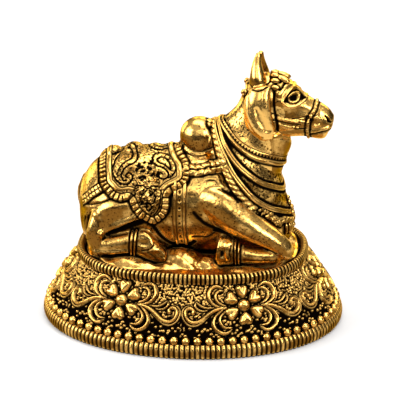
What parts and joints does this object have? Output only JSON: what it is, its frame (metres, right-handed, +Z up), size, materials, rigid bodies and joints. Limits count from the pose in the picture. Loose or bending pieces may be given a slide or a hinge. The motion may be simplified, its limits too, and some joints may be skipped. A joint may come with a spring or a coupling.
{
  "type": "nandi bull figure",
  "caption": "Seated humped temple bull in saddle cloth, collars and halter, cast in antique-gold metal on a flared oval plinth with flower and scroll band and beaded rim.",
  "frame": {"origin": "centre of the plinth's flat underside, which is also the bottom centre of the whole figure's box", "axes": "+X is the way that the bull faces, +Y is its left side, +Z is up"},
  "size_m": [0.0746, 0.0602, 0.0692],
  "materials": {
    "plinth_metal": "antique gold with black patina in the grounds",
    "bull_metal": "polished antique gold with dark patina in the recesses"
  },
  "bodies": {
    "root": {"plinth": "plinth_metal", "bull": "bull_metal"}
  },
  "joints": []
}
